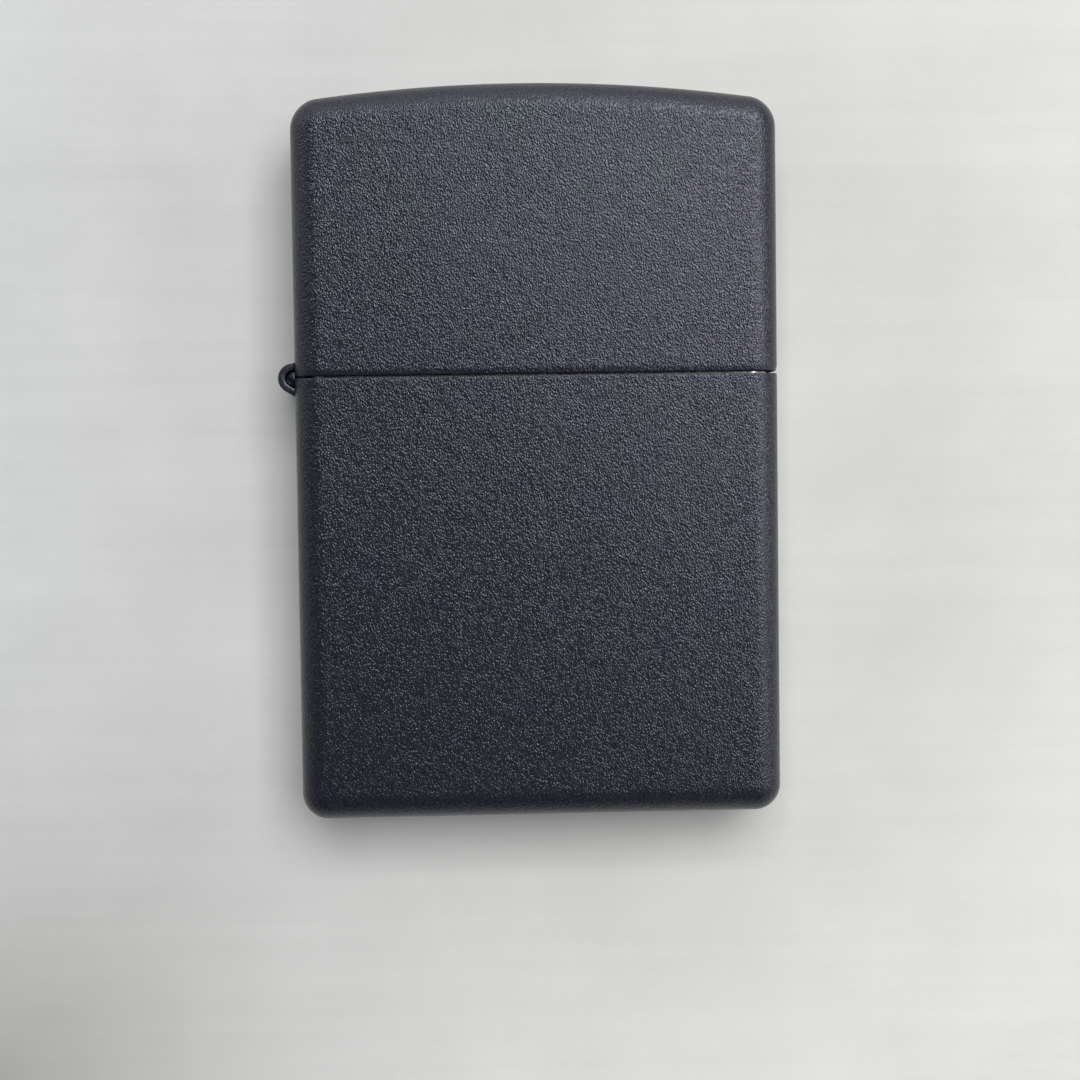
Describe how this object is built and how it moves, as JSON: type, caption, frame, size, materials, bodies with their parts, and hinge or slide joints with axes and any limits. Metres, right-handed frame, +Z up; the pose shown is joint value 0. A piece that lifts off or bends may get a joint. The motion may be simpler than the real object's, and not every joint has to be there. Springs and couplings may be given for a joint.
{
  "type": "flip-lid pocket lighter",
  "caption": "Windproof petrol pocket lighter: rounded metal case with an arched hinged lid, black crackle finish, and a lift-out insert with chimney, wheel, flint and wick.",
  "frame": {"origin": "middle of the base of the case, hinge left out, at the level of the rim it stands on (0.35 mm below the recessed base panel)", "axes": "+Z up from the base to the lid, -Y out of the front face, +X to the right seen from the front, so the hinge is on the -X side"},
  "size_m": [0.0389, 0.0128, 0.057],
  "materials": {
    "crackle_paint": "black hammered crackle powder coat with fine glinting grain",
    "black_hinge": "smooth semi-gloss black",
    "hinge_pin": "blackened steel",
    "insert_steel": "satin stainless",
    "rivet_steel": "satin, pressed heads",
    "cam_steel": "satin",
    "spring_steel": "bright spring steel",
    "wheel_steel": "cut teeth, hardened",
    "brass": "turned brass",
    "copper_wire": "drawn copper",
    "flint_alloy": "dull pressed ferrocerium",
    "wick_cotton": "braided cotton",
    "cotton_packing": "loose cotton fibre",
    "felt": "pressed felt"
  },
  "bodies": {
    "case": {"case_shell": "crackle_paint", "case_hinge_leaf": "black_hinge", "hinge_pin": "hinge_pin"},
    "lid": {"lid_shell": "crackle_paint", "lid_hinge_leaf": "black_hinge"},
    "insert": {"insert_body": "insert_steel", "chimney": "insert_steel", "cam_rivet": "rivet_steel", "cam_spring": "spring_steel", "cam_spring_rivet": "rivet_steel", "wheel_rivet": "rivet_steel", "flint_tube": "brass", "wick": "wick_cotton", "wick_wire": "copper_wire", "packing_ball_1": "cotton_packing", "packing_ball_2": "cotton_packing", "packing_ball_3": "cotton_packing", "packing_ball_4": "cotton_packing", "packing_ball_5": "cotton_packing", "felt_pad": "felt"},
    "cam": {"cam": "cam_steel"},
    "wheel": {"flint_wheel": "wheel_steel"},
    "flint": {"flint": "flint_alloy", "flint_spring_tip": "brass"},
    "spring": {"flint_spring": "spring_steel"},
    "screw": {"flint_screw": "brass"}
  },
  "joints": [
    {"name": "lid_hinge", "type": "hinge", "parent": "case", "child": "lid", "pos_m": [-0.01895, 0, 0.03444], "axis": [0, -1, 0], "range_deg": [0, 120]},
    {"name": "insert_lift", "type": "slide", "parent": "case", "child": "insert", "axis": [0, 0, 1], "range_m": [0, 0.0055]},
    {"name": "cam_pivot", "type": "hinge", "parent": "insert", "child": "cam", "pos_m": [-0.0126, 0, 0.0366], "axis": [0, -1, 0], "range_deg": [0, 36]},
    {"name": "wheel_spin", "type": "hinge", "parent": "insert", "child": "wheel", "pos_m": [0.0096, 0, 0.0437], "axis": [0, 1, 0], "continuous": true},
    {"name": "flint_press", "type": "slide", "parent": "insert", "child": "flint", "axis": [0, 0, 1], "range_m": [-0.0015, 0], "stiffness_N_per_m": 10, "springref_m": 0.0015, "deforming": ["flint_spring"]},
    {"name": "screw_travel", "type": "slide", "parent": "insert", "child": "spring", "axis": [0, 0, -1], "range_m": [0, 0.0006]},
    {"name": "screw_turn", "type": "hinge", "parent": "spring", "child": "screw", "pos_m": [0.0096, 0, 0.002], "axis": [0, 0, -1], "range_deg": [0, 362]}
  ],
  "couplings": [
    {"joint": "cam_pivot", "follows": "lid_hinge", "ratio": 0.29},
    {"joint": "screw_turn", "follows": "screw_travel", "rad_per_m": 10472}
  ]
}
